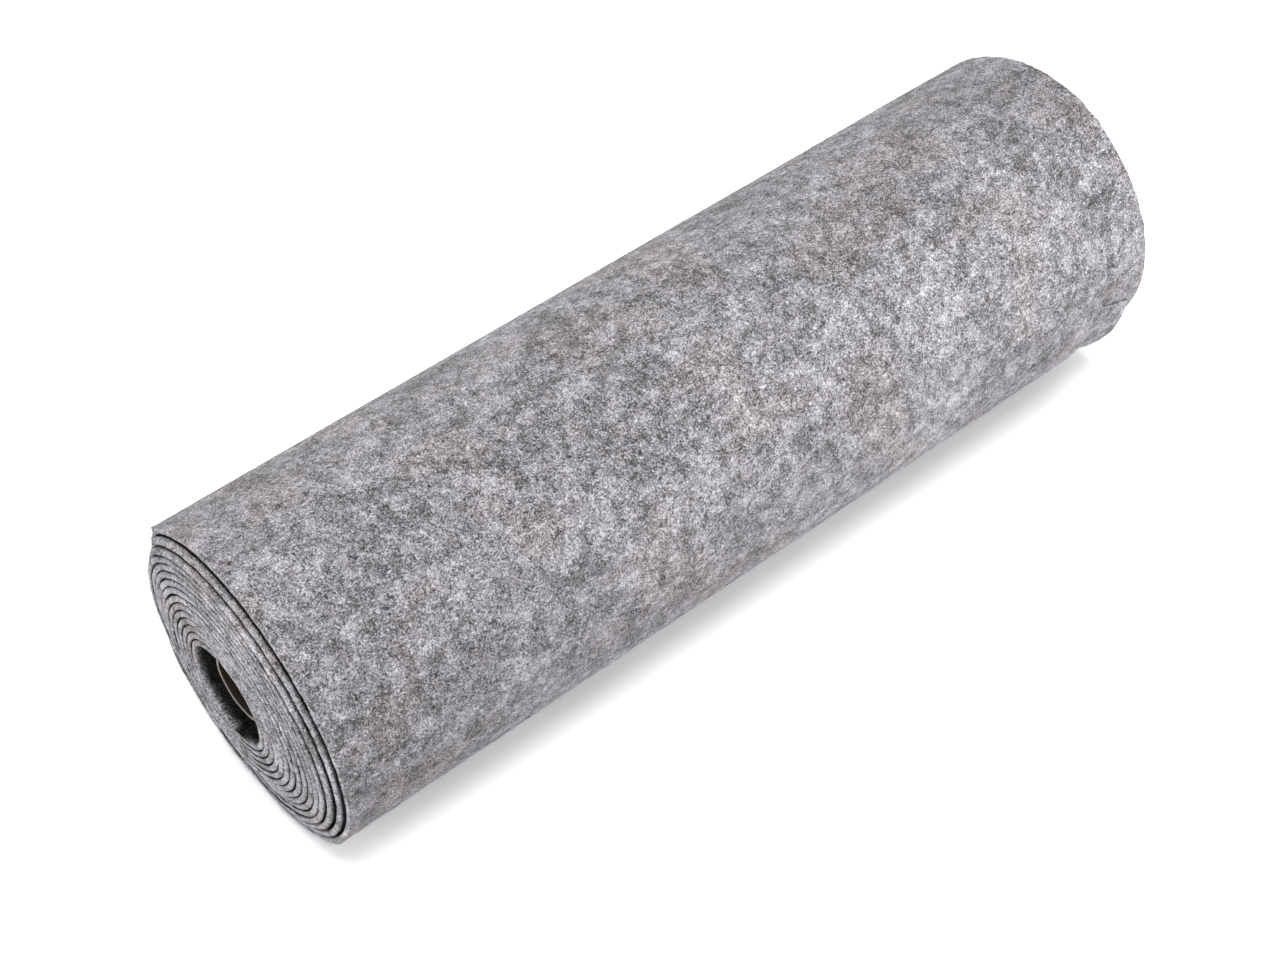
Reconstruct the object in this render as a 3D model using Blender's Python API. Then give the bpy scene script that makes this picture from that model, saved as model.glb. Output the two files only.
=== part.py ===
# Roll of felt round a loose card tube
# Axis of the roll along X, near end at -X, seen side at -Y, resting on Z = 0

import bpy
import bmesh
import numpy as np


# Cloth
CLOTH_WIDTH = 0.450
FELT = 0.0029
TURN_PITCH = 0.003345
TURNS = 15.092
INNER_END_RADIUS = 0.02073
INNER_END_ANGLE = 172.0

# Roll
STEPS_PER_TURN = 72
OPEN_TURNS = 2.6
FLAT_DEPTH = 0.0012
TONGUE_TURNS = 0.10
TONGUE_LIFT = 0.0016

# Slack between the outer turns on the seen side
SLACK_ANGLE = 65.0
SLACK_POWER = 1.5

# Columns: turns in from the outer end, slack under that turn
SLACK_TABLE = (
    (0.0, 0.0010),
    (1.0, 0.0010),
    (2.0, 0.0005),
)

# Columns: turns in from the outer end, how far the near edge stands proud,
# how much more it does at the angle of sway
NEAR_TABLE = (
    (0.0, 0.0002, 0.0000),
    (0.9, 0.0003, 0.0001),
    (1.2, 0.0014, 0.0002),
    (1.5, 0.0022, 0.0003),
    (2.0, 0.0027, 0.0003),
    (2.3, 0.0030, 0.0005),
    (2.5, 0.0039, 0.0008),
    (3.0, 0.0042, 0.0011),
    (4.0, 0.0042, 0.0014),
    (5.0, 0.0043, 0.0016),
    (6.0, 0.0049, 0.0013),
    (8.0, 0.0062, 0.0006),
    (9.0, 0.0070, 0.0002),
    (16.0, 0.0074, 0.0000),
)
SWAY_ANGLE = 25.0

# The near edge of the outer turns lies back on the far side of the roll
BACK_DIP = 0.0045
BACK_DIP_ANGLE = -84.0
BACK_DIP_HALF = 38.0
BACK_DIP_TURNS = 3.6
BACK_DIP_FADE = 1.8

# The far edge of the outermost turn is drawn back over a part of its way
# Columns: turns in from the outer end, how far it is drawn back
FAR_TABLE = (
    (0.000, 0.0015),
    (0.268, 0.0015),
    (0.291, 0.0035),
    (0.302, 0.0170),
    (0.311, 0.0245),
    (0.327, 0.0258),
    (0.352, 0.0258),
    (0.374, 0.0252),
    (0.393, 0.0245),
    (0.418, 0.0262),
    (0.434, 0.0270),
    (0.439, 0.0130),
    (0.445, 0.0000),
    (0.460, -0.0020),
    (0.560, -0.0015),
    (0.700, 0.0000),
    (16.00, 0.0000),
)
FAR_STEP = 0.0035
FAR_INNER = -0.0020

# Card tube
TUBE_RADIUS = 0.0159
TUBE_WALL = 0.0013
TUBE_NEAR = -0.0008
TUBE_LENGTH = 0.4420
TUBE_SEGMENTS = 48
TUBE_ANGLE = 215.0
CLEARANCE = 0.0003


# Colours
FELT_COLOUR = (0.30, 0.29, 0.305, 1.0)
CARD_COLOUR = (0.30, 0.21, 0.14, 1.0)


def clear_scene():
    for thing in list(bpy.data.objects):
        bpy.data.objects.remove(thing, do_unlink=True)


def smooth(value):
    held = min(1.0, max(0.0, value))
    return held * held * (3.0 - 2.0 * held)


def table_value(table, key, column=1):
    columns = np.array(table)
    return float(np.interp(key, columns[:, 0], columns[:, column]))


def angle_of(turn):
    # Clockwise from the top, as seen from the near end
    return INNER_END_ANGLE + 360.0 * turn


def slack_under(turn):
    # The extra gap that opens under one turn
    depth = TURNS - turn
    if depth < 0.0 or depth > len(SLACK_TABLE):
        return 0.0
    row = min(int(depth), len(SLACK_TABLE) - 1)
    swing = np.radians(angle_of(turn) - SLACK_ANGLE)
    return SLACK_TABLE[row][1] * float(0.5 + 0.5 * np.cos(swing)) ** SLACK_POWER


def slack_sum(turn):
    total = 0.0
    for step in range(len(SLACK_TABLE)):
        total += slack_under(turn - step)
    return total


def tongue(turn):
    # The last stretch leaves the roll a little
    grown = (turn - (TURNS - TONGUE_TURNS)) / TONGUE_TURNS
    return TONGUE_LIFT * max(0.0, grown) ** 2


def inner_face(turn):
    return INNER_END_RADIUS + TURN_PITCH * turn + slack_sum(turn) + tongue(turn)


def outer_face(turn):
    return inner_face(turn) + FELT


def outer_size():
    return INNER_END_RADIUS + FELT + TURN_PITCH * TURNS


def floor_level():
    # How far the flat spot lies below the middle of the roll
    return outer_face(TURNS - TONGUE_TURNS) - FLAT_DEPTH


def flatten(radius, angle):
    # A flat spot at the bottom, less deep towards the middle
    share = (radius - INNER_END_RADIUS) / (outer_size() - INNER_END_RADIUS)
    depth = FLAT_DEPTH * min(1.0, max(0.0, share))
    down = -np.cos(angle)
    if down <= 0.5:
        return radius
    return min(radius, (radius - depth) / down)


def cross_point(radius, turn):
    # Y and Z of a point of the cloth in the section
    angle = np.radians(angle_of(turn))
    held = flatten(radius, angle)
    y = -held * np.sin(angle)
    z = held * np.cos(angle)
    floor = -floor_level()
    return y, max(z, floor) - floor


def swing_from(turn, angle):
    # Degrees between a point of the cloth and an angle, from -180 to 180
    return (angle_of(turn) - angle + 180.0) % 360.0 - 180.0


def near_edge(turn):
    depth = TURNS - turn
    proud = table_value(NEAR_TABLE, depth)
    sway = table_value(NEAR_TABLE, depth, 2)
    proud += sway * float(np.cos(np.radians(swing_from(turn, SWAY_ANGLE))))
    aside = abs(swing_from(turn, BACK_DIP_ANGLE)) / BACK_DIP_HALF
    dip = BACK_DIP * smooth(3.0 * (1.0 - aside))
    dip *= smooth((BACK_DIP_TURNS - depth) / BACK_DIP_FADE)
    return dip - proud


def far_edge(turn):
    depth = TURNS - turn
    back = table_value(FAR_TABLE, depth)
    step = FAR_STEP * smooth((depth - 0.7) / 0.4)
    step += (FAR_INNER - FAR_STEP) * smooth((depth - 3.0) / 6.0)
    return CLOTH_WIDTH + step - back


def new_material(name, colour, roughness):
    made = bpy.data.materials.new(name)
    made.use_nodes = True
    shader = made.node_tree.nodes["Principled BSDF"]
    shader.inputs["Base Color"].default_value = colour
    shader.inputs["Roughness"].default_value = roughness
    shader.inputs["Metallic"].default_value = 0.0
    return made


def new_object(name, mesh_data, made):
    mesh = bpy.data.meshes.new(name)
    mesh_data.to_mesh(mesh)
    mesh_data.free()
    mesh.materials.append(made)
    thing = bpy.data.objects.new(name, mesh)
    bpy.context.scene.collection.objects.link(thing)
    return thing


def shade_round(thing, limit):
    for face in thing.data.polygons:
        face.use_smooth = True
    thing.data.set_sharp_from_angle(angle=np.radians(limit))


def felt_roll(made):
    count = STEPS_PER_TURN
    last = int(round(TURNS * count))
    split = int(round((TURNS - OPEN_TURNS) * count))
    root = split - count
    data = bmesh.new()
    inner = []
    outer = {}

    def line(face, turn):
        # The two ends of the cloth's line along the roll
        y, z = cross_point(face(turn), turn)
        near = data.verts.new((near_edge(turn), y, z))
        far = data.verts.new((far_edge(turn), y, z))
        return near, far

    def end_faces(ring):
        data.faces.new([ends[0] for ends in ring])
        data.faces.new([ends[1] for ends in reversed(ring)])

    def skin(one, two):
        data.faces.new((one[0], one[1], two[1], two[0]))

    for index in range(last + 1):
        turn = index * TURNS / last
        inner.append(line(inner_face, turn))
        if index >= root:
            outer[index] = line(outer_face, turn)

    # The wound body, whose turns meet
    for index in range(root - 1):
        end_faces((inner[index], inner[index + 1], inner[index + 1 + count], inner[index + count]))
    end_faces((inner[root - 1], inner[root], outer[root], inner[split], inner[split - 1]))
    for index in range(count):
        skin(inner[index], inner[index + 1])
    skin(inner[count], inner[0])

    # The outer turns, with a gap between them
    for index in range(root, last):
        end_faces((inner[index], inner[index + 1], outer[index + 1], outer[index]))
        skin(outer[index + 1], outer[index])
    for index in range(split, last):
        skin(inner[index], inner[index + 1])
    skin(outer[root], inner[split])
    skin(inner[last], outer[last])
    bmesh.ops.recalc_face_normals(data, faces=data.faces)
    thing = new_object("felt_roll", data, made)
    shade_round(thing, 40.0)
    return thing


def hole_ring():
    # The hole's wall in the section, with the middles of its chords
    ring = []
    for index in range(STEPS_PER_TURN + 1):
        turn = index / STEPS_PER_TURN
        ring.append(np.array(cross_point(inner_face(turn), turn)))
    ring.append(ring[0])
    middles = [(one + two) / 2.0 for one, two in zip(ring, ring[1:])]
    return ring + middles


def tube_centre():
    # The tube slides from the middle of the hole until it meets the cloth
    ring = hole_ring()
    start = sum(ring) / len(ring)
    angle = np.radians(TUBE_ANGLE)
    way = np.array((-np.sin(angle), np.cos(angle)))
    low = 0.0
    high = INNER_END_RADIUS
    for step in range(40):
        middle = (low + high) / 2.0
        spot = start + way * middle
        nearest = min(float(np.linalg.norm(point - spot)) for point in ring)
        if nearest - TUBE_RADIUS > CLEARANCE:
            low = middle
        else:
            high = middle
    return start + way * low


def core_tube(made):
    centre = tube_centre()
    data = bmesh.new()
    rings = []
    for radius in (TUBE_RADIUS, TUBE_RADIUS - TUBE_WALL):
        for x in (TUBE_NEAR, TUBE_NEAR + TUBE_LENGTH):
            ring = []
            for index in range(TUBE_SEGMENTS):
                angle = 2.0 * np.pi * index / TUBE_SEGMENTS
                y = centre[0] + radius * np.cos(angle)
                z = centre[1] + radius * np.sin(angle)
                ring.append(data.verts.new((x, y, z)))
            rings.append(ring)
    outer_near, outer_far, inner_near, inner_far = rings
    pairs = (
        (outer_near, outer_far),
        (inner_far, inner_near),
        (outer_far, inner_far),
        (inner_near, outer_near),
    )
    for one, two in pairs:
        for index in range(TUBE_SEGMENTS):
            after = (index + 1) % TUBE_SEGMENTS
            data.faces.new((one[index], one[after], two[after], two[index]))
    bmesh.ops.recalc_face_normals(data, faces=data.faces)
    thing = new_object("core_tube", data, made)
    shade_round(thing, 40.0)
    return thing


def settle(things):
    # The origin goes to the middle of the box's floor
    points = [vertex.co for thing in things for vertex in thing.data.vertices]
    low = np.min(np.array(points), axis=0)
    high = np.max(np.array(points), axis=0)
    shift = ((low[0] + high[0]) / 2.0, (low[1] + high[1]) / 2.0, low[2])
    for thing in things:
        for vertex in thing.data.vertices:
            vertex.co = [vertex.co[axis] - shift[axis] for axis in range(3)]
        thing.data.update()


def main():
    clear_scene()
    felt = new_material("felt", FELT_COLOUR, 0.95)
    card = new_material("card", CARD_COLOUR, 0.85)
    roll = felt_roll(felt)
    tube = core_tube(card)
    settle((roll, tube))


main()
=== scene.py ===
# Roll of grey felt round a loose card tube: looks, camera, floor and light
import math

import bpy
import numpy as np
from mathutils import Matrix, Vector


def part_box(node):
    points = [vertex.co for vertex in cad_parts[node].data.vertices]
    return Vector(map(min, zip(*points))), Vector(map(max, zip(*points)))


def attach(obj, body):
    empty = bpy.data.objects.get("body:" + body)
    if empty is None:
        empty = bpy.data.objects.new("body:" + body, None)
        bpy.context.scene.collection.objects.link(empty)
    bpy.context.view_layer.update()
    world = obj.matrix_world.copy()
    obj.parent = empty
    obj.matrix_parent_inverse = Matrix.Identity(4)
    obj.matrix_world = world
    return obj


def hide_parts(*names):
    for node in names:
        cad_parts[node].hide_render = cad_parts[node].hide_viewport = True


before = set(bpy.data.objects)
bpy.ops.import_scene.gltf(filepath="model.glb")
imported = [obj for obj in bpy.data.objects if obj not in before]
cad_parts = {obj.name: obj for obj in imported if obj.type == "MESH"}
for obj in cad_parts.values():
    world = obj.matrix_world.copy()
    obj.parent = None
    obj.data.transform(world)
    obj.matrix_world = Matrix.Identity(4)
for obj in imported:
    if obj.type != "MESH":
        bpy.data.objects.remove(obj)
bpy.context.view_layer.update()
ROOT = "root"

# Cloth, as in the part's source
CLOTH_WIDTH = 0.450
FELT = 0.0029
TURN_PITCH = 0.003345
TURNS = 15.092
INNER_END_RADIUS = 0.02073
INNER_END_ANGLE = 172.0
FLAT_DEPTH = 0.0012
TONGUE_TURNS = 0.10
TONGUE_LIFT = 0.0016
SLACK_ANGLE = 65.0
SLACK_POWER = 1.5
SLACK_TABLE = np.array(((0.0, 0.0010), (1.0, 0.0010), (2.0, 0.0005)))

# Columns: turns in from the outer end, how far the near edge stands proud,
# how much more it does at the angle of sway
NEAR_TABLE = np.array((
    (0.0, 0.0002, 0.0000),
    (0.9, 0.0003, 0.0001),
    (1.2, 0.0014, 0.0002),
    (1.5, 0.0022, 0.0003),
    (2.0, 0.0027, 0.0003),
    (2.3, 0.0030, 0.0005),
    (2.5, 0.0039, 0.0008),
    (3.0, 0.0042, 0.0011),
    (4.0, 0.0042, 0.0014),
    (5.0, 0.0043, 0.0016),
    (6.0, 0.0049, 0.0013),
    (8.0, 0.0062, 0.0006),
    (9.0, 0.0070, 0.0002),
    (16.0, 0.0074, 0.0000),
))
SWAY_ANGLE = 25.0
BACK_DIP = 0.0045
BACK_DIP_ANGLE = -84.0
BACK_DIP_HALF = 38.0
BACK_DIP_TURNS = 3.6
BACK_DIP_FADE = 1.8

# The far edge of the outermost turn is drawn back over a part of its way
# Columns: turns in from the outer end, how far it is drawn back
FAR_TABLE = np.array((
    (0.000, 0.0015),
    (0.268, 0.0015),
    (0.291, 0.0035),
    (0.302, 0.0170),
    (0.311, 0.0245),
    (0.327, 0.0258),
    (0.352, 0.0258),
    (0.374, 0.0252),
    (0.393, 0.0245),
    (0.418, 0.0262),
    (0.434, 0.0270),
    (0.439, 0.0130),
    (0.445, 0.0000),
    (0.460, -0.0020),
    (0.560, -0.0015),
    (0.700, 0.0000),
    (16.00, 0.0000),
))
FAR_STEP = 0.0035
FAR_INNER = -0.0020

# Columns: turns in from the outer end, how much more the inner corner of the
# cut edge stands proud than the outer one
SLANT_TABLE = np.array((
    (0.0, 0.0003),
    (1.0, 0.0004),
    (1.3, 0.0006),
    (1.5, 0.0015),
    (1.7, 0.0016),
    (2.0, 0.0005),
    (2.25, 0.0012),
    (2.5, 0.0014),
    (2.7, 0.0012),
    (3.0, 0.0004),
    (16.0, 0.0004),
))

# Where the cloth's own place (near end at 0, middle of the roll at 0) lies in the frame
SHIFT_X = -0.22307131
SHIFT_Y = 0.00198519

# Fineness of the cloth's mesh
INNER_STEPS = 92
OUTER_STEPS = 168
OUTER_TURNS = 4.0


def smooth(value):
    held = np.clip(value, 0.0, 1.0)
    return held * held * (3.0 - 2.0 * held)


def angle_of(turn):
    return INNER_END_ANGLE + 360.0 * turn


def slack_under(turn):
    depth = TURNS - turn
    row = np.clip(depth.astype(int), 0, len(SLACK_TABLE) - 1)
    swing = np.radians(angle_of(turn) - SLACK_ANGLE)
    size = SLACK_TABLE[row, 1] * (0.5 + 0.5 * np.cos(swing)) ** SLACK_POWER
    return np.where((depth < 0.0) | (depth > len(SLACK_TABLE)), 0.0, size)


def inner_face(turn):
    total = INNER_END_RADIUS + TURN_PITCH * turn
    for step in range(len(SLACK_TABLE)):
        total = total + slack_under(turn - step)
    grown = np.clip((turn - (TURNS - TONGUE_TURNS)) / TONGUE_TURNS, 0.0, None)
    return total + TONGUE_LIFT * grown ** 2


def floor_level():
    last = np.array([TURNS - TONGUE_TURNS])
    return float(inner_face(last)[0]) + FELT - FLAT_DEPTH


FLOOR_LEVEL = floor_level()
OUTER_SIZE = INNER_END_RADIUS + FELT + TURN_PITCH * TURNS


def cross_point(radius, turn):
    # Y and Z of a point of the cloth, in the frame
    angle = np.radians(angle_of(turn))
    share = np.clip((radius - INNER_END_RADIUS) / (OUTER_SIZE - INNER_END_RADIUS), 0.0, 1.0)
    down = -np.cos(angle)
    flat = (radius - FLAT_DEPTH * share) / np.where(down > 0.5, down, 1.0)
    held = np.where(down > 0.5, np.minimum(radius, flat), radius)
    y = -held * np.sin(angle)
    z = np.maximum(held * np.cos(angle), -FLOOR_LEVEL)
    return y + SHIFT_Y, z + FLOOR_LEVEL


def swing_from(turn, angle):
    # Degrees between a point of the cloth and an angle, from -180 to 180
    return (angle_of(turn) - angle + 180.0) % 360.0 - 180.0


def band(value, start, rise, end, fall):
    # Grows from 0 to 1 over the rise after the start, and fades over the fall before the end
    return smooth((value - start) / rise) * smooth((end - value) / fall)


def near_edge(turn):
    depth = TURNS - turn
    proud = np.interp(depth, NEAR_TABLE[:, 0], NEAR_TABLE[:, 1])
    sway = np.interp(depth, NEAR_TABLE[:, 0], NEAR_TABLE[:, 2])
    proud = proud + sway * np.cos(np.radians(swing_from(turn, SWAY_ANGLE)))
    aside = np.abs(swing_from(turn, BACK_DIP_ANGLE)) / BACK_DIP_HALF
    dip = BACK_DIP * smooth(3.0 * (1.0 - aside))
    dip = dip * smooth((BACK_DIP_TURNS - depth) / BACK_DIP_FADE)
    return dip - proud


def far_edge(turn):
    depth = TURNS - turn
    back = np.interp(depth, FAR_TABLE[:, 0], FAR_TABLE[:, 1])
    step = FAR_STEP * smooth((depth - 0.7) / 0.4)
    step = step + (FAR_INNER - FAR_STEP) * smooth((depth - 3.0) / 6.0)
    return CLOTH_WIDTH + step - back


def waves(place, seed, count, low, high):
    # A smooth uneven line of about unit size, made of seeded waves
    made = np.random.default_rng(seed)
    total = np.zeros(np.shape(place))
    for step in range(count):
        pitch = made.uniform(low, high)
        total = total + np.sin(place * 2.0 * np.pi / pitch + made.uniform(0.0, 6.28))
    return total / math.sqrt(count / 2.0)


def length_at(turn):
    # Length of cloth from the inner end
    return 2.0 * np.pi * turn * (INNER_END_RADIUS + FELT / 2.0 + TURN_PITCH * turn / 2.0)


# The outermost turn, less the stretch that the next one covers
OUTERMOST = 0.95

# Creases in the outermost turn
# Columns: angle and place along the roll of three points, half width, depth
CREASES = (
    ((96.0, 0.4240), (108.0, 0.4245), (135.0, 0.4300), 0.0016, 0.00055),
    ((93.0, 0.4353), (103.0, 0.4300), (118.0, 0.4345), 0.0013, 0.00045),
    ((-14.0, 0.0330), (8.0, 0.0300), (34.0, 0.0140), 0.0013, 0.00030),
)


def crease(turn, x):
    angle = swing_from(turn, 0.0)
    total = np.zeros(np.shape(x))
    for first, middle, last, half, deep in CREASES:
        place = np.interp(angle, (first[0], middle[0], last[0]), (first[1], middle[1], last[1]))
        ends = band(angle, first[0] - 2.0, 4.0, last[0] + 2.0, 6.0)
        total = total + deep * ends * np.exp(-((x - place) / half) ** 2)
    return np.where(TURNS - turn < OUTERMOST, total, 0.0)


# The far end of the outermost turn: how much closer it lies, how far its low corner stands off,
# how much thinner it is pulled at both ends of the drawn back stretch
PRESSED = 0.0003
CORNER_LIFT = 0.0026
PULLED_THIN = 0.0021


def pressed(turn, x):
    angle = swing_from(turn, 0.0)
    close = smooth((x - 0.412) / 0.010) * band(angle, 10.0, 25.0, 158.0, 30.0)
    corner = smooth((x - 0.430) / 0.012) * band(angle, 106.0, 22.0, 156.0, 24.0)
    total = close * (slack_under(turn) + PRESSED) - CORNER_LIFT * corner
    return np.where(TURNS - turn < OUTERMOST, total, 0.0)


def thinned(turn, x):
    angle = swing_from(turn, 0.0)
    ends = band(angle, 26.0, 18.0, 66.0, 10.0) + band(angle, 84.0, 6.0, 122.0, 20.0)
    total = PULLED_THIN * smooth((x - 0.414) / 0.010) * ends
    return np.where(TURNS - turn < OUTERMOST, total, 0.0)


# How far the faces of the cloth are from true: along the roll, and round it
UNEVEN_ALONG = 0.00010
UNEVEN_ROUND = 0.00009


def cloth_point(turn, x, depth):
    # A point of the cloth: turn, place along the roll, and depth from inner (0) to outer (1) face
    radius = inner_face(turn) + (FELT - thinned(turn, x)) * depth
    angle = np.radians(angle_of(turn))
    share = (radius - INNER_END_RADIUS) / (OUTER_SIZE - INNER_END_RADIUS)
    uneven = UNEVEN_ALONG * waves(x + 0.06 * np.sin(angle + 1.0), 11, 5, 0.05, 0.16)
    uneven = uneven * np.sin(2.0 * angle + 9.0 * x) * share
    wander = UNEVEN_ROUND * waves(length_at(turn), 12, 6, 0.02, 0.09)
    lift = smooth((np.cos(angle) + 0.86) / 0.3)
    radius = radius + (uneven + wander) * lift - crease(turn, x) - pressed(turn, x)
    y, z = cross_point(radius, turn)
    return np.stack([x + SHIFT_X, y, z], axis=-1)


def new_mesh(name, points, faces, smooth_faces=True, material=None):
    mesh = bpy.data.meshes.new(name)
    points = np.asarray(points, dtype=np.float32)
    faces = np.asarray(faces, dtype=np.int32)
    side = faces.shape[1]
    # Faces turn outwards: the volume that they hold is positive
    corners = points[faces[:, :3]].astype(float)
    if np.einsum("ij,ij->i", corners[:, 0], np.cross(corners[:, 1], corners[:, 2])).sum() < 0.0:
        faces = faces[:, ::-1].copy()
    mesh.vertices.add(len(points))
    mesh.vertices.foreach_set("co", points.ravel())
    mesh.loops.add(faces.size)
    mesh.loops.foreach_set("vertex_index", faces.ravel())
    mesh.polygons.add(len(faces))
    mesh.polygons.foreach_set("loop_start", np.arange(0, faces.size, side, dtype=np.int32))
    mesh.polygons.foreach_set("loop_total", np.full(len(faces), side, dtype=np.int32))
    mesh.polygons.foreach_set("use_smooth", np.full(len(faces), smooth_faces))
    mesh.update(calc_edges=True)
    mesh.validate()
    if material is not None:
        mesh.materials.append(material)
    thing = bpy.data.objects.new(name, mesh)
    bpy.context.scene.collection.objects.link(thing)
    return thing


# Materials

class Tree:
    def __init__(self, name):
        self.material = bpy.data.materials.new(name)
        self.material.use_nodes = True
        self.nodes = self.material.node_tree.nodes
        self.links = self.material.node_tree.links
        self.shader = self.nodes["Principled BSDF"]

    def put(self, socket, value):
        if isinstance(value, bpy.types.NodeSocket):
            self.links.new(value, socket)
        else:
            socket.default_value = value

    def coords(self):
        return self.nodes.new("ShaderNodeTexCoord").outputs["Object"]

    def attribute(self, name):
        node = self.nodes.new("ShaderNodeAttribute")
        node.attribute_name = name
        return node.outputs["Fac"]

    def noise(self, vector, scale, detail=2.0, rough=0.5, distortion=0.0):
        node = self.nodes.new("ShaderNodeTexNoise")
        self.put(node.inputs["Vector"], vector)
        node.inputs["Scale"].default_value = scale
        node.inputs["Detail"].default_value = detail
        node.inputs["Roughness"].default_value = rough
        node.inputs["Distortion"].default_value = distortion
        return node.outputs[0], node.outputs[1]

    def math(self, kind, one, two=0.0, three=0.0):
        node = self.nodes.new("ShaderNodeMath")
        node.operation = kind
        for socket, value in zip(node.inputs, (one, two, three)):
            self.put(socket, value)
        return node.outputs[0]

    def vector(self, kind, one, two):
        node = self.nodes.new("ShaderNodeVectorMath")
        node.operation = kind
        self.put(node.inputs[0], one)
        if kind == "SCALE":
            self.put(node.inputs["Scale"], two)
        else:
            self.put(node.inputs[1], two)
        return node.outputs[0]

    def spread(self, value, low, high, to_low=0.0, to_high=1.0):
        node = self.nodes.new("ShaderNodeMapRange")
        node.interpolation_type = "SMOOTHSTEP"
        node.inputs["From Min"].default_value = low
        node.inputs["From Max"].default_value = high
        node.inputs["To Min"].default_value = to_low
        node.inputs["To Max"].default_value = to_high
        self.put(node.inputs["Value"], value)
        return node.outputs["Result"]

    def ramp(self, value, stops):
        node = self.nodes.new("ShaderNodeValToRGB")
        ramp = node.color_ramp
        while len(ramp.elements) < len(stops):
            ramp.elements.new(0.5)
        for element, (place, colour) in zip(ramp.elements, stops):
            element.position = place
            element.color = (*colour, 1.0)
        self.put(node.inputs[0], value)
        return node.outputs[0]

    def mix(self, share, one, two, kind="MIX"):
        node = self.nodes.new("ShaderNodeMix")
        node.data_type = "RGBA"
        node.blend_type = kind
        self.put(node.inputs["Factor"], share)
        self.put([s for s in node.inputs if s.name == "A" and s.type == "RGBA"][0], one)
        self.put([s for s in node.inputs if s.name == "B" and s.type == "RGBA"][0], two)
        return [s for s in node.outputs if s.type == "RGBA"][0]

    def bump(self, height, distance, strength):
        node = self.nodes.new("ShaderNodeBump")
        node.inputs["Distance"].default_value = distance
        node.inputs["Strength"].default_value = strength
        self.put(node.inputs["Height"], height)
        return node.outputs["Normal"]


def warped(tree, coords, scale, size):
    # Coordinates pushed about by a slow noise, in metres
    push = tree.vector("SUBTRACT", tree.noise(coords, scale, 2.0)[1], (0.5, 0.5, 0.5))
    return tree.vector("ADD", coords, tree.vector("SCALE", push, size))


def hairs(tree, coords, scale, thin, offset):
    # Thin curly lines where a noise crosses its middle value
    moved = tree.vector("ADD", coords, offset)
    value = tree.noise(moved, scale, 1.5, 0.6, 0.4)[0]
    away = tree.math("ABSOLUTE", tree.math("SUBTRACT", value, 0.5))
    return tree.spread(away, 0.0, thin, 1.0, 0.0)


def felt_material():
    tree = Tree("felt_melange")
    coords = tree.coords()
    bent = warped(tree, coords, 420.0, 0.0040)
    clouds = tree.noise(coords, 34.0, 3.0, 0.6)[0]
    patches = tree.noise(bent, 130.0, 4.0, 0.62)[0]
    tufts = tree.noise(bent, 430.0, 3.0, 0.70)[0]
    grain = tree.noise(coords, 1350.0, 3.0, 0.75, 0.3)[0]
    dark_hair = hairs(tree, bent, 330.0, 0.022, (0.31, 0.0, 0.0))
    dark_fine = hairs(tree, bent, 620.0, 0.035, (0.0, 0.43, 0.0))
    light_hair = hairs(tree, bent, 380.0, 0.026, (0.0, 0.0, 0.57))
    light_fine = hairs(tree, bent, 700.0, 0.040, (0.71, 0.2, 0.0))
    value = 0.50
    for source, share in ((clouds, 0.46), (patches, 0.92), (tufts, 0.95), (grain, 2.40)):
        value = tree.math("MULTIPLY_ADD", tree.math("SUBTRACT", source, 0.5), share, value)
    clumps = tree.math("MULTIPLY", light_hair, tree.spread(tufts, 0.40, 0.62))
    strays = tree.math("MULTIPLY", dark_hair, tree.spread(patches, 0.62, 0.40))
    for source, share in ((clumps, 0.26), (light_fine, 0.16), (strays, -0.58), (dark_fine, -0.22)):
        value = tree.math("MULTIPLY_ADD", source, share, value)
    colour = tree.ramp(value, (
        (0.00, (0.030, 0.028, 0.029)),
        (0.28, (0.105, 0.099, 0.103)),
        (0.50, (0.240, 0.229, 0.243)),
        (0.72, (0.400, 0.390, 0.414)),
        (1.00, (0.640, 0.630, 0.660)),
    ))
    # Now and then a brownish fibre
    brown = tree.noise(tree.vector("ADD", coords, (0.0, 0.9, 0.1)), 260.0, 3.0, 0.7)[0]
    colour = tree.mix(tree.spread(brown, 0.60, 0.72, 0.0, 0.35), colour, (0.26, 0.20, 0.18, 1.0))
    # Slow changes to a warmer grey
    warm = tree.noise(tree.vector("ADD", coords, (0.4, 0.0, 0.3)), 24.0, 3.0, 0.6)[0]
    colour = tree.mix(tree.spread(warm, 0.50, 0.66, 0.0, 1.0), colour,
                      tree.vector("MULTIPLY", colour, (1.03, 0.975, 0.955)))
    # Painted light and shade, held in a point attribute, scales the felt's colour
    shade = tree.attribute("painted_light_and_tone")
    colour = tree.vector("SCALE", colour, shade)
    tree.put(tree.shader.inputs["Base Color"], colour)
    tree.shader.inputs["Roughness"].default_value = 0.95
    # Shine and fuzz fade with the painted shade
    dim = tree.math("MULTIPLY", tree.math("MINIMUM", shade, 1.0), 0.15)
    tree.put(tree.shader.inputs["Specular IOR Level"], dim)
    tree.put(tree.shader.inputs["Sheen Weight"], dim)
    tree.shader.inputs["Sheen Roughness"].default_value = 0.45
    height = tree.math("MULTIPLY_ADD", grain, 0.8, tree.math("MULTIPLY", tufts, 0.8))
    height = tree.math("MULTIPLY_ADD", light_hair, 0.25, height)
    height = tree.math("MULTIPLY_ADD", dark_hair, -0.20, height)
    tree.put(tree.shader.inputs["Normal"], tree.bump(height, 0.0010, 0.9))
    return tree.material


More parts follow.
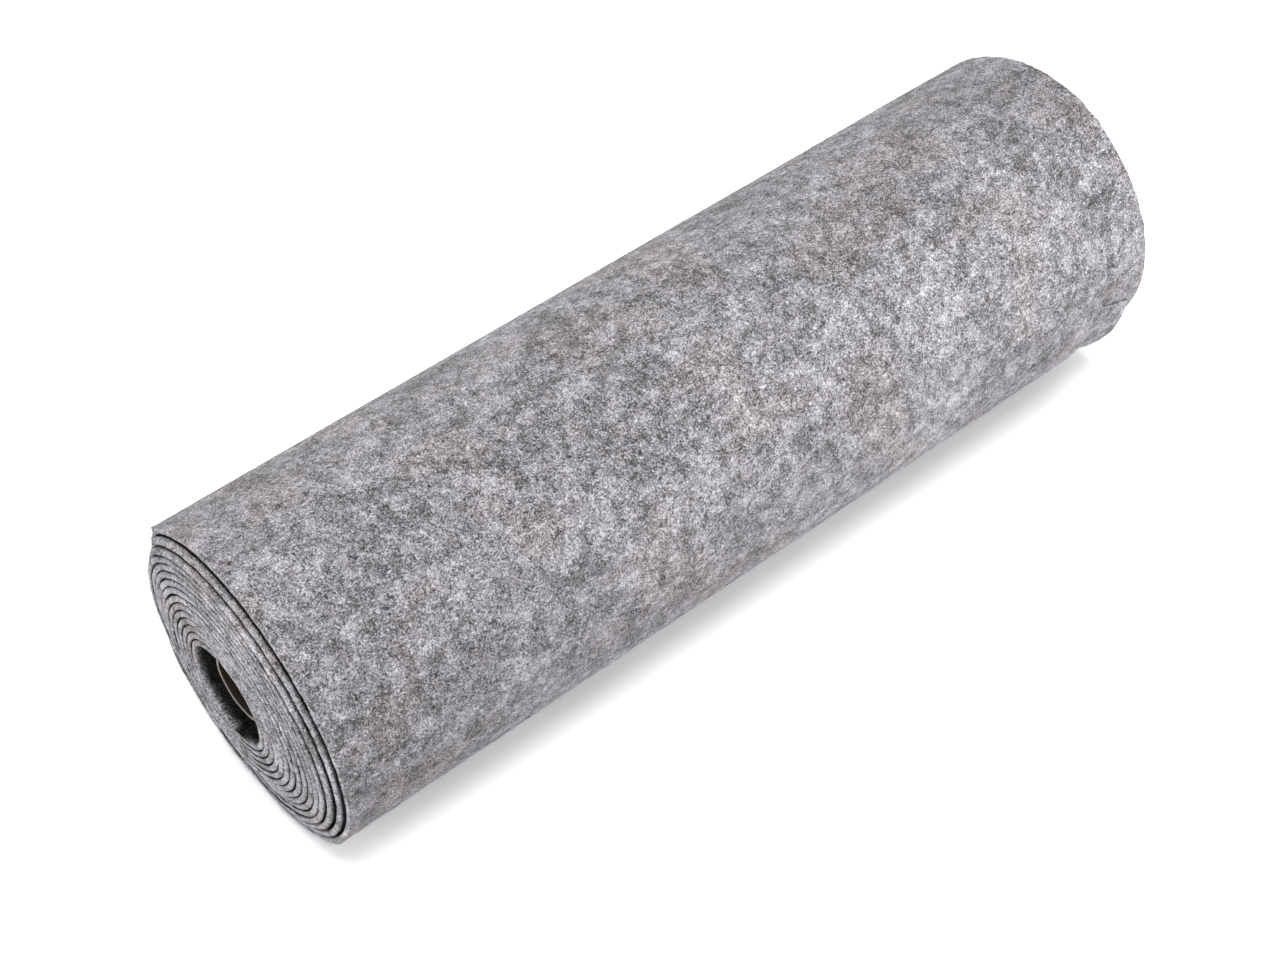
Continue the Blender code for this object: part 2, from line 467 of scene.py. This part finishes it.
def card_material():
    tree = Tree("card_brown")
    coords = tree.coords()
    stretched = tree.vector("MULTIPLY", coords, (0.35, 1.0, 1.0))
    pulp = tree.noise(stretched, 900.0, 4.0, 0.65)[0]
    stain = tree.noise(coords, 60.0, 3.0, 0.6)[0]
    value = tree.math("MULTIPLY_ADD", tree.math("SUBTRACT", stain, 0.5), 0.6, pulp)
    colour = tree.ramp(value, (
        (0.20, (0.100, 0.078, 0.060)),
        (0.50, (0.185, 0.138, 0.106)),
        (0.80, (0.285, 0.230, 0.180)),
    ))
    # Painted shade, held in a point attribute, darkens the card
    colour = tree.vector("SCALE", colour, tree.attribute("painted_light_and_tone"))
    tree.put(tree.shader.inputs["Base Color"], colour)
    tree.shader.inputs["Roughness"].default_value = 0.85
    tree.shader.inputs["Specular IOR Level"].default_value = 0.06
    tree.put(tree.shader.inputs["Normal"], tree.bump(pulp, 0.0002, 0.6))
    return tree.material


def rim_material():
    tree = Tree("card_cut_edge")
    coords = tree.coords()
    pulp = tree.noise(coords, 1400.0, 3.0, 0.6)[0]
    colour = tree.ramp(pulp, (
        (0.25, (0.15, 0.125, 0.10)),
        (0.75, (0.32, 0.28, 0.235)),
    ))
    tree.put(tree.shader.inputs["Base Color"], colour)
    tree.shader.inputs["Roughness"].default_value = 0.9
    tree.put(tree.shader.inputs["Normal"], tree.bump(pulp, 0.0003, 0.8))
    return tree.material


FELT_MATERIAL = felt_material()
CARD_MATERIAL = card_material()
RIM_MATERIAL = rim_material()


# Felt

def turn_list():
    split = TURNS - OUTER_TURNS
    inner = np.linspace(0.0, split, int(split * INNER_STEPS) + 1)
    outer = np.linspace(split, TURNS, int(OUTER_TURNS * OUTER_STEPS) + 1)
    return np.concatenate([inner, outer[1:]])


# Columns: how far in from the cut edge, depth across the felt
EDGE_PROFILE = (
    (0.00075, 1.00),
    (0.00028, 0.93),
    (0.00004, 0.72),
    (0.00004, 0.28),
    (0.00028, 0.07),
    (0.00075, 0.00),
)
# Shares of the width at which the faces of the cloth have a line of points
ALONG = (0.0045, 0.008, 0.013, 0.022, 0.045, 0.09, 0.17, 0.30, 0.45, 0.60, 0.74,
         0.84, 0.90, 0.925, 0.935, 0.943, 0.950, 0.957, 0.965, 0.975, 0.986, 0.995)

# Painted light and shade: how light the felt is made on top of the roll, and on the seen side near and
# far
TOP_PAINTED_LIGHT = 0.70
SIDE_NEAR_PAINTED_LIGHT = 0.66
SIDE_FAR_PAINTED_LIGHT = 1.10

# Painted shade: how dark the felt is made down the gaps, in the hole and on the step of the inner end
GAP_PAINTED_SHADE = 0.94
HOLE_PAINTED_SHADE = 0.93
HOLE_DEEP_PAINTED_SHADE = 0.05
STEP_PAINTED_SHADE = 0.88
VEIL_SHARE = 0.20
VEIL_ANGLE = 25.0
# Painted highlight on the cut corners: how light they are on the outermost turn, on the others, and its
# width
CORNER_HIGHLIGHT_OUTER = 0.30
CORNER_HIGHLIGHT_OTHERS = 0.06
CORNER_HIGHLIGHT_WIDTH = 0.0008
# Painted shade on the cut edge of the outermost turn and of the others
CUT_PAINTED_SHADE_OUTER = 0.94
CUT_PAINTED_SHADE_OTHERS = 0.98
# Painted shade in the creases, per metre of their depth, and the faint shade beside the drawn back edge
CREASE_PAINTED_SHADE = 420.0
BESIDE_DARK = 0.22
# Turns to either side over which the covering edge is looked up
COVER_REACH = (-0.012, -0.006, 0.0, 0.006, 0.012)


# Painted light and shade: a slow trend, lighter or darker by angle round the roll and by place along it,
# for how the light falls
def painted_light_balance(turn, x):
    angle = (angle_of(turn) + 90.0) % 360.0 - 90.0
    side = band(angle, 2.0, 52.0, 170.0, 40.0)
    back = smooth((-50.0 - angle) / 40.0) + smooth((angle - 130.0) / 40.0)
    along = SIDE_NEAR_PAINTED_LIGHT + (SIDE_FAR_PAINTED_LIGHT - SIDE_NEAR_PAINTED_LIGHT) * smooth(x / CLOTH_WIDTH * 0.8 + 0.2)
    top = TOP_PAINTED_LIGHT + (1.0 - TOP_PAINTED_LIGHT) * np.clip(back, 0.0, 1.0)
    return top + (along - top) * side


def painted_light_and_tone(turn, x, depth, near, far):
    # How light the felt is painted: painted shade down the gaps and in the hole, painted highlight at the
    # cut corners
    swing = np.abs(swing_from(turn, VEIL_ANGLE))
    inset = np.minimum(x - near, far - x)
    turns_in = TURNS - turn
    margin = np.where(turns_in > 3.0, -0.0001, 0.0003)
    shade = smooth((x - near - margin) / 0.0007)
    if depth > 0.5:
        cover = [far_edge(turn + 1.0 + aside) for aside in COVER_REACH]
        shade = shade * smooth((np.min(cover, axis=0) - x + 0.0003) / 0.0012)
        shade = shade * smooth((x - near_edge(turn + 1.0) + 0.0010) / 0.0007)
        shade = np.where(turn + 1.0 > TURNS, 0.0, shade)
    else:
        shade = shade * smooth((far - x - 0.0003) / 0.0012) * smooth((turns_in - 0.001) / 0.004)
    # Fluff hides the gaps of some turns towards the top, so their painted shade is weaker there
    veil = band(turns_in, 3.1, 0.2, 6.3, 0.4) * smooth((80.0 - swing) / 30.0)
    dark = GAP_PAINTED_SHADE * shade * (1.0 - VEIL_SHARE * veil)
    if depth < 0.5:
        hole = HOLE_PAINTED_SHADE * smooth(inset / 0.003) + HOLE_DEEP_PAINTED_SHADE * smooth(inset / 0.022)
        hole = hole + (HOLE_PAINTED_SHADE - hole) * smooth((turn - 0.93) / 0.06)
        dark = np.where(turn < 1.0, hole, dark)
    if 0.0 < depth < 1.0:
        dark = np.where(turn < 0.001, STEP_PAINTED_SHADE, dark * (inset > 0.0006))
    outermost = turn + 1.0 > TURNS
    # Painted highlight along the cut corners
    corner = np.where(outermost, CORNER_HIGHLIGHT_OUTER, CORNER_HIGHLIGHT_OTHERS) * np.exp(-(inset / CORNER_HIGHLIGHT_WIDTH) ** 2)
    light = (1.0 - dark) * (1.0 + corner * (1.0 if depth > 0.9 else 0.3))
    if depth == 1.0:
        # Painted shade in the creases and beside the drawn back edge
        light = light * (1.0 - CREASE_PAINTED_SHADE * crease(turn, x))
        beside = x - far_edge(turn + 1.0)
        strip = BESIDE_DARK * band(beside, -0.001, 0.002, 0.010, 0.008)
        drawn = (turns_in > 1.0) & (turns_in < 1.6) & (far_edge(turn + 1.0) < 0.430)
        light = light * (1.0 - strip * drawn)
        # Painted light: near its far cut edge on the low side, the outermost turn is kept at least this
        # light
        low = smooth((angle_of(turn) % 360.0 - 86.0) / 12.0) * (x > 0.40)
        light = np.where(outermost & (far - x < 0.0012), np.maximum(light, 0.85 * low), light)
    # Painted shade on the cut edges
    if 0.2 < depth < 0.8:
        return light * np.where(outermost, CUT_PAINTED_SHADE_OUTER, CUT_PAINTED_SHADE_OTHERS)
    return light * painted_light_balance(turn, x)


# Stores the painted light and shade, and the fibres' own tone, as a point attribute
def add_painted_light_and_tone(thing, values):
    layer = thing.data.attributes.new("painted_light_and_tone", "FLOAT", "POINT")
    layer.data.foreach_set("value", np.asarray(values, dtype=np.float32))


# How ragged the near and the far cut edges are
RAGGED_NEAR = 0.00007
RAGGED_FAR = 0.00016


def felt_sheet():
    turns = turn_list()
    place = length_at(turns)
    ragged = RAGGED_NEAR * waves(place, 21, 7, 0.004, 0.020)
    ragged_far = RAGGED_FAR * waves(place, 22, 7, 0.004, 0.020)
    near = near_edge(turns) + ragged
    far = far_edge(turns) + ragged_far
    columns = []
    slant = np.interp(TURNS - turns, SLANT_TABLE[:, 0], SLANT_TABLE[:, 1])
    for inset, depth in EDGE_PROFILE[::-1]:
        columns.append((near + inset + slant * (depth - 0.5), depth))
    for share in ALONG:
        columns.append((near + (far - near) * share, 1.0))
    for inset, depth in EDGE_PROFILE:
        columns.append((far - inset, depth))
    for share in ALONG[::-1]:
        columns.append((near + (far - near) * share, 0.0))
    rows = [cloth_point(turns, x, depth) for x, depth in columns]
    tones = np.stack([painted_light_and_tone(turns, x, depth, near, far) for x, depth in columns], axis=1)
    grid = np.stack(rows, axis=1)
    steps, width = grid.shape[:2]
    index = np.arange(steps * width).reshape(steps, width)
    after = np.roll(index, -1, axis=1)
    faces = np.stack([index[:-1], after[:-1], after[1:], index[1:]], axis=-1).reshape(-1, 4)
    # Each end of the cloth is closed by quads from one face to the other
    middle = len(EDGE_PROFILE) // 2
    step = np.arange(width // 2 - 1)
    ring = (middle + step, middle + step + 1, middle - 2 - step, middle - 1 - step)
    cap = np.stack([index[0][place % width] for place in ring], axis=-1)
    end = np.stack([index[-1][place % width] for place in ring[::-1]], axis=-1)
    return grid.reshape(-1, 3), np.vstack([faces, cap, end]), tones.ravel()


points, faces, tones = felt_sheet()
felt = new_mesh("felt_cloth", points, faces, True, FELT_MATERIAL)
add_painted_light_and_tone(felt, tones)
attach(felt, ROOT)
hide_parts("felt_roll")


# Loose fibres

FIBRE_STEPS = 3
# Share of its width that a fibre has at each of its points
FIBRE_TAPER = (0.8, 1.0, 0.8, 0.25)
FACE_FIBRES = 21000
RIM_FIBRES = 8000
MIDDLE_RADIUS = 0.070


def fibres(name, seed, turns, places, start, spans, rises, widths, outward):
    # Fine ribbons that leave the felt in a low bend and lie down again
    made = np.random.default_rng(seed)
    count = len(turns)
    heading = made.uniform(0.0, 2.0 * np.pi, count)
    bend = made.uniform(-1.1, 1.1, count)
    roll = made.uniform(0.0, np.pi, count)
    tip = made.uniform(0.2, 1.0, count)
    points = []
    for step in range(FIBRE_STEPS + 1):
        share = step / FIBRE_STEPS
        way = heading + bend * share
        along = spans * share
        turn = turns + along * np.sin(way) / (2.0 * np.pi * MIDDLE_RADIUS)
        x = places + along * np.cos(way) * outward
        base = cloth_point(np.minimum(turn, TURNS - 0.01), x, 1.0)
        angle = np.radians(angle_of(turn))
        out = np.stack([np.zeros(count), -np.sin(angle), np.cos(angle)], axis=-1)
        height = start + rises * math.sin(0.5 * math.pi * share) * (1.0 - 0.5 * (1.0 - tip) * share)
        points.append(base + out * height[:, None])
    points = np.stack(points, axis=1)
    flow = points[:, -1] - points[:, 0]
    flow = flow / np.maximum(np.linalg.norm(flow, axis=1, keepdims=True), 1e-9)
    aside = np.cross(flow, out)
    aside = aside / np.maximum(np.linalg.norm(aside, axis=1, keepdims=True), 1e-9)
    across = aside * np.cos(roll)[:, None] + out * np.sin(roll)[:, None]
    taper = np.array(FIBRE_TAPER)
    half = across[:, None, :] * (widths[:, None] * taper[None, :])[:, :, None] / 2.0
    ribbon = np.stack([points - half, points + half], axis=2).reshape(-1, 3)
    first = np.arange(count)[:, None] * 2 * (FIBRE_STEPS + 1) + 2 * np.arange(FIBRE_STEPS)[None, :]
    first = first.ravel()
    faces = np.stack([first, first + 1, first + 3, first + 2], axis=-1)
    thing = new_mesh(name, ribbon, faces, True, FELT_MATERIAL)
    # Each fibre's own random tone, times the painted light and shade of the slow trend
    tones = made.uniform(0.75, 1.35, count) * painted_light_balance(turns, places)
    tones = np.repeat(tones, 2 * (FIBRE_STEPS + 1))
    add_painted_light_and_tone(thing, tones)
    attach(thing, ROOT)
    return thing


def turn_at(angle, turns_in):
    # The turn that passes an angle, counted in from the outer end
    whole = (angle_of(TURNS) - angle) / 360.0 % 1.0
    return TURNS - whole - turns_in


def face_fibres():
    made = np.random.default_rng(31)
    count = FACE_FIBRES
    turns = turn_at(made.uniform(-95.0, 150.0, count), 0)
    room = far_edge(turns) - near_edge(turns) - 0.003
    places = near_edge(turns) + 0.001 + made.uniform(0.0, 1.0, count) * room
    spans = made.uniform(0.0012, 0.0048, count)
    rises = made.uniform(0.00005, 0.00045, count)
    widths = made.uniform(0.00004, 0.00008, count)
    return fibres("felt_fluff", 32, turns, places, 0.00002, spans, rises, widths, 1.0)


def rim_fibres():
    made = np.random.default_rng(41)
    count = RIM_FIBRES
    which = made.choice(5, count, p=(0.40, 0.20, 0.16, 0.13, 0.11))
    turns = turn_at(made.uniform(-180.0, 180.0, count), which)
    places = near_edge(turns) + made.uniform(0.0, 0.0008, count)
    side = np.where(made.uniform(0.0, 1.0, count) < 0.5, -0.35, 0.8)
    spans = made.uniform(0.0008, 0.0026, count)
    rises = made.uniform(0.00005, 0.00050, count)
    widths = made.uniform(0.00004, 0.00007, count)
    return fibres("felt_rim_fluff", 42, turns, places, -0.0001, spans, rises, widths, side)


fluff = [face_fibres(), rim_fibres()]


# Card tube

TUBE_RADIUS = 0.0159
TUBE_WALL = 0.0013
TUBE_LENGTH = 0.4420
TUBE_SEGMENTS = 96
LOW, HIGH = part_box("core_tube")
TUBE_Y = (LOW[1] + HIGH[1]) / 2.0
TUBE_Z = (LOW[2] + HIGH[2]) / 2.0
TUBE_X = LOW[0]

# Columns: how far in from the tube's end, depth in the wall from outside (0) to bore (1)
TUBE_PROFILE = (
    (0.0004, 0.0),
    (0.00012, 0.12),
    (0.0, 0.30),
    (0.0, 0.70),
    (0.00012, 0.88),
    (0.0004, 1.0),
)
TUBE_LINES = 40
SEAM_PITCH = 0.085
SEAM_DEPTH = 0.00012
# Painted shade in the tube's bore and on its outside
BORE_PAINTED_SHADE = 0.15
OUTSIDE_PAINTED_SHADE = 0.6


def tube_mesh():
    angles = np.linspace(0.0, 2.0 * np.pi, TUBE_SEGMENTS, endpoint=False)
    lines = []
    kinds = []
    along = np.linspace(0.004, TUBE_LENGTH - 0.004, TUBE_LINES)
    for inset, depth in TUBE_PROFILE[::-1]:
        lines.append((inset, depth))
        kinds.append(1)
    for x in along:
        lines.append((x, 0.0))
        kinds.append(0)
    for inset, depth in TUBE_PROFILE:
        lines.append((TUBE_LENGTH - inset, depth))
        kinds.append(1)
    for x in along[::-1]:
        lines.append((x, 1.0))
        kinds.append(0)
    grid = []
    for x, depth in lines:
        radius = TUBE_RADIUS - TUBE_WALL * depth
        # A wound tube: shallow seams run round it in a long screw line
        seam = (angles / (2.0 * np.pi) - x / SEAM_PITCH) % 1.0
        groove = SEAM_DEPTH * np.exp(-(np.minimum(seam, 1.0 - seam) / 0.012) ** 2)
        reach = smooth(min(x, TUBE_LENGTH - x) / 0.003)
        held = radius - groove * reach if depth < 0.5 else radius + groove * reach * 0.5
        uneven = 0.00008 * np.sin(3.0 * angles + 1.0) + 0.00006 * np.sin(7.0 * angles)
        side = float(x < 0.001) - float(x > TUBE_LENGTH - 0.001)
        edge = uneven * 0.8 * side
        grid.append(np.stack([
            TUBE_X + x + 0.0001 + edge,
            TUBE_Y + held * np.cos(angles),
            TUBE_Z + held * np.sin(angles),
        ], axis=-1))
    grid = np.stack(grid, axis=0)
    rows, width = grid.shape[:2]
    index = np.arange(rows * width).reshape(rows, width)
    below = np.roll(index, -1, axis=0)
    faces = np.stack([
        index, np.roll(index, -1, axis=1), np.roll(below, -1, axis=1), below
    ], axis=-1).reshape(-1, 4)
    slots = np.repeat(np.array([
        1 if kinds[row] == 1 and kinds[(row + 1) % rows] == 1 else 0 for row in range(rows)
    ]), width)
    thing = new_mesh("card_tube", grid.reshape(-1, 3), faces, True, CARD_MATERIAL)
    thing.data.materials.append(RIM_MATERIAL)
    thing.data.polygons.foreach_set("material_index", slots.astype(np.int32))
    # Painted shade: the bore is dark, most of all towards the top, and the outside of the tube is darker
    # too
    depths = np.array([depth for x, depth in lines])[:, None]
    upper = 0.5 + 0.5 * np.sin(angles)[None, :]
    bore = BORE_PAINTED_SHADE * (1.0 - 0.85 * upper)
    tones = np.where(depths > 0.95, bore, np.where(depths < 0.05, OUTSIDE_PAINTED_SHADE, 1.0))
    add_painted_light_and_tone(thing, tones.ravel())
    return thing


tube = tube_mesh()
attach(tube, ROOT)
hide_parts("core_tube")


# Camera

CAMERA_PLACE = (-0.449740, -0.521502, 0.837670)
CAMERA_HEADING = -39.686
CAMERA_DOWN = 49.387
CAMERA_LENS = 65.809


def add_camera():
    data = bpy.data.cameras.new("camera")
    data.lens = CAMERA_LENS
    data.sensor_width = 36.0
    data.clip_start = 0.01
    data.clip_end = 20.0
    camera = bpy.data.objects.new("camera", data)
    camera.location = CAMERA_PLACE
    camera.rotation_euler = (math.radians(90.0 - CAMERA_DOWN), 0.0, math.radians(CAMERA_HEADING))
    bpy.context.scene.collection.objects.link(camera)
    bpy.context.scene.camera = camera


add_camera()


# Floor and light

def floor_material():
    tree = Tree("floor_pale")
    coords = tree.coords()
    faint = tree.noise(coords, 6.0, 2.0)[0]
    colour = tree.ramp(faint, ((0.3, (0.90, 0.90, 0.905)), (0.7, (0.92, 0.92, 0.925))))
    tree.put(tree.shader.inputs["Base Color"], colour)
    tree.shader.inputs["Roughness"].default_value = 0.9
    tree.shader.inputs["Specular IOR Level"].default_value = 0.1
    tree.shader.inputs["Emission Color"].default_value = (1.0, 1.0, 1.0, 1.0)
    tree.shader.inputs["Emission Strength"].default_value = 0.16
    return tree.material


FLOOR_REACH = 6.0
floor_points = [(FLOOR_REACH * x, FLOOR_REACH * y, 0.0) for x, y in ((-1, -1), (1, -1), (1, 1), (-1, 1))]
floor = new_mesh("floor", floor_points, [(0, 1, 2, 3)], False, floor_material())


def area_light(name, place, target, size, power):
    data = bpy.data.lights.new(name, "AREA")
    data.shape = "DISK"
    data.size = size
    data.energy = power
    light = bpy.data.objects.new(name, data)
    light.location = place
    away = np.array(target) - np.array(place)
    flat = math.hypot(away[0], away[1])
    light.rotation_euler = (math.atan2(flat, -away[2]), 0.0, math.atan2(away[1], away[0]) - math.pi / 2.0)
    bpy.context.scene.collection.objects.link(light)
    return light


area_light("key", (-0.15, -0.22, 1.75), (0.0, 0.0, 0.07), 1.2, 46.0)
area_light("fill", (-1.60, -0.50, 0.90), (-0.10, 0.0, 0.07), 1.2, 8.0)

world = bpy.data.worlds.new("room")
bpy.context.scene.world = world
world.use_nodes = True
world.node_tree.nodes["Background"].inputs["Color"].default_value = (0.97, 0.975, 1.0, 1.0)
world.node_tree.nodes["Background"].inputs["Strength"].default_value = 0.90
bpy.context.scene.view_settings.view_transform = "Standard"
